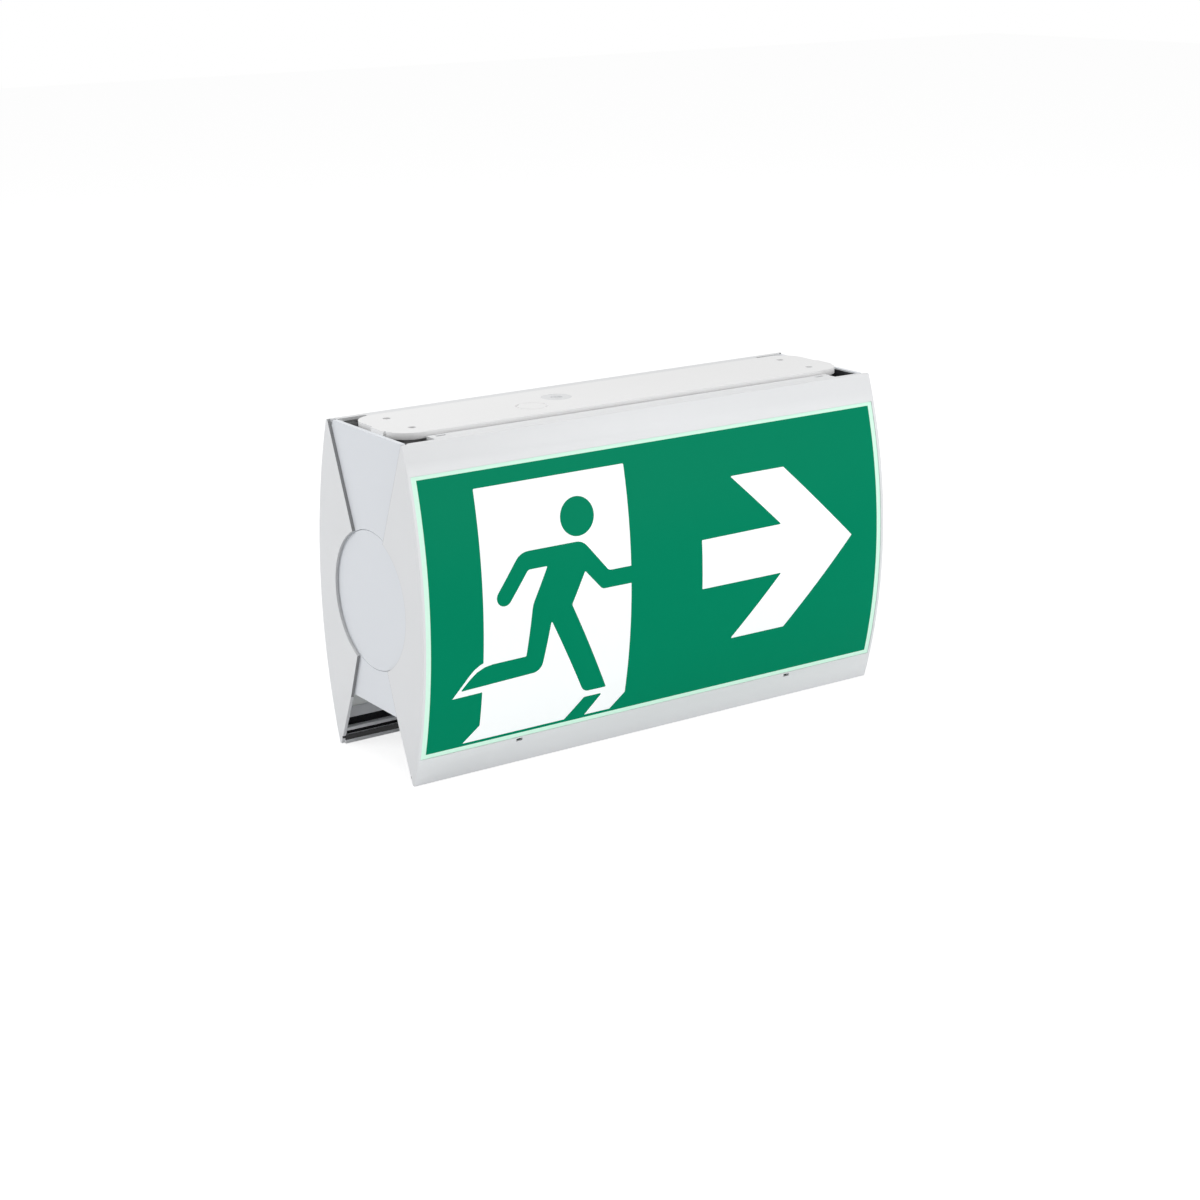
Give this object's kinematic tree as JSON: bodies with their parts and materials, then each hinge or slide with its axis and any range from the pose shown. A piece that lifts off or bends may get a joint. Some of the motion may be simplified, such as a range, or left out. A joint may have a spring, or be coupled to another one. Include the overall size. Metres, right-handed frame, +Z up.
{
  "type": "emergency exit light",
  "caption": "Double-sided emergency exit light with curved hook-on covers, lit exit legends and a ceiling mounting plate.",
  "frame": {"origin": "middle of the mounting plate's ceiling face", "axes": "+X along the sign, -Y out of the front legend, +Z up towards the ceiling"},
  "size_m": [0.361, 0.1322, 0.2175],
  "materials": {
    "white_moulding": "fine matt moulded",
    "white_cover": "satin moulded",
    "green_legend": "printed acrylic, lit from behind",
    "opal_sheet": "opal",
    "black_strip": "matt",
    "white_sheet": "white powder coat",
    "light_board": "white solder mask",
    "light_source": "yellow phosphor",
    "grey_rubber": "soft",
    "battery_sleeve": "shrink sleeve",
    "green_board": "solder mask",
    "dark_component": "moulded bobbin and core",
    "can": "sleeved cans",
    "light_connector": "nylon",
    "button_moulding": "dark moulded",
    "steel": "zinc plated",
    "clear_green": "tinted lens"
  },
  "bodies": {
    "housing": {"mounting_plate": "white_moulding", "chassis": "white_moulding", "front_reflector": "white_sheet", "back_reflector": "white_sheet", "front_led_boards": "light_board", "back_led_boards": "light_board", "front_leds": "light_source", "back_leds": "light_source", "left_end_cap": "white_moulding", "right_end_cap": "white_moulding", "cable_grommet": "grey_rubber", "battery_pack": "battery_sleeve", "battery_cradle": "white_moulding", "control_board": "green_board", "transformer": "dark_component", "capacitors": "can", "board_connectors": "light_connector", "terminal_block": "light_connector", "button_spring": "steel", "test_switch": "dark_component", "status_lens": "clear_green"},
    "front_cover": {"front_cover": "white_cover", "front_legend_panel": "green_legend", "front_diffuser": "opal_sheet", "front_edge_strips": "black_strip"},
    "back_cover": {"back_cover": "white_cover", "back_legend_panel": "green_legend", "back_diffuser": "opal_sheet", "back_edge_strips": "black_strip"},
    "test_button": {"test_button": "button_moulding"}
  },
  "joints": [
    {"name": "front_cover_hinge", "type": "hinge", "parent": "housing", "child": "front_cover", "pos_m": [0, -0.0454, -0.0075], "axis": [1, 0, 0], "range_deg": [-30, 0]},
    {"name": "back_cover_hinge", "type": "hinge", "parent": "housing", "child": "back_cover", "pos_m": [0, 0.0454, -0.0075], "axis": [1, 0, 0], "range_deg": [0, 30]},
    {"name": "test_button_press", "type": "slide", "parent": "housing", "child": "test_button", "axis": [0, 0, 1], "range_m": [0, 0.002], "stiffness_N_per_m": 400, "springref_m": -0.001, "deforming": ["button_spring"]}
  ]
}
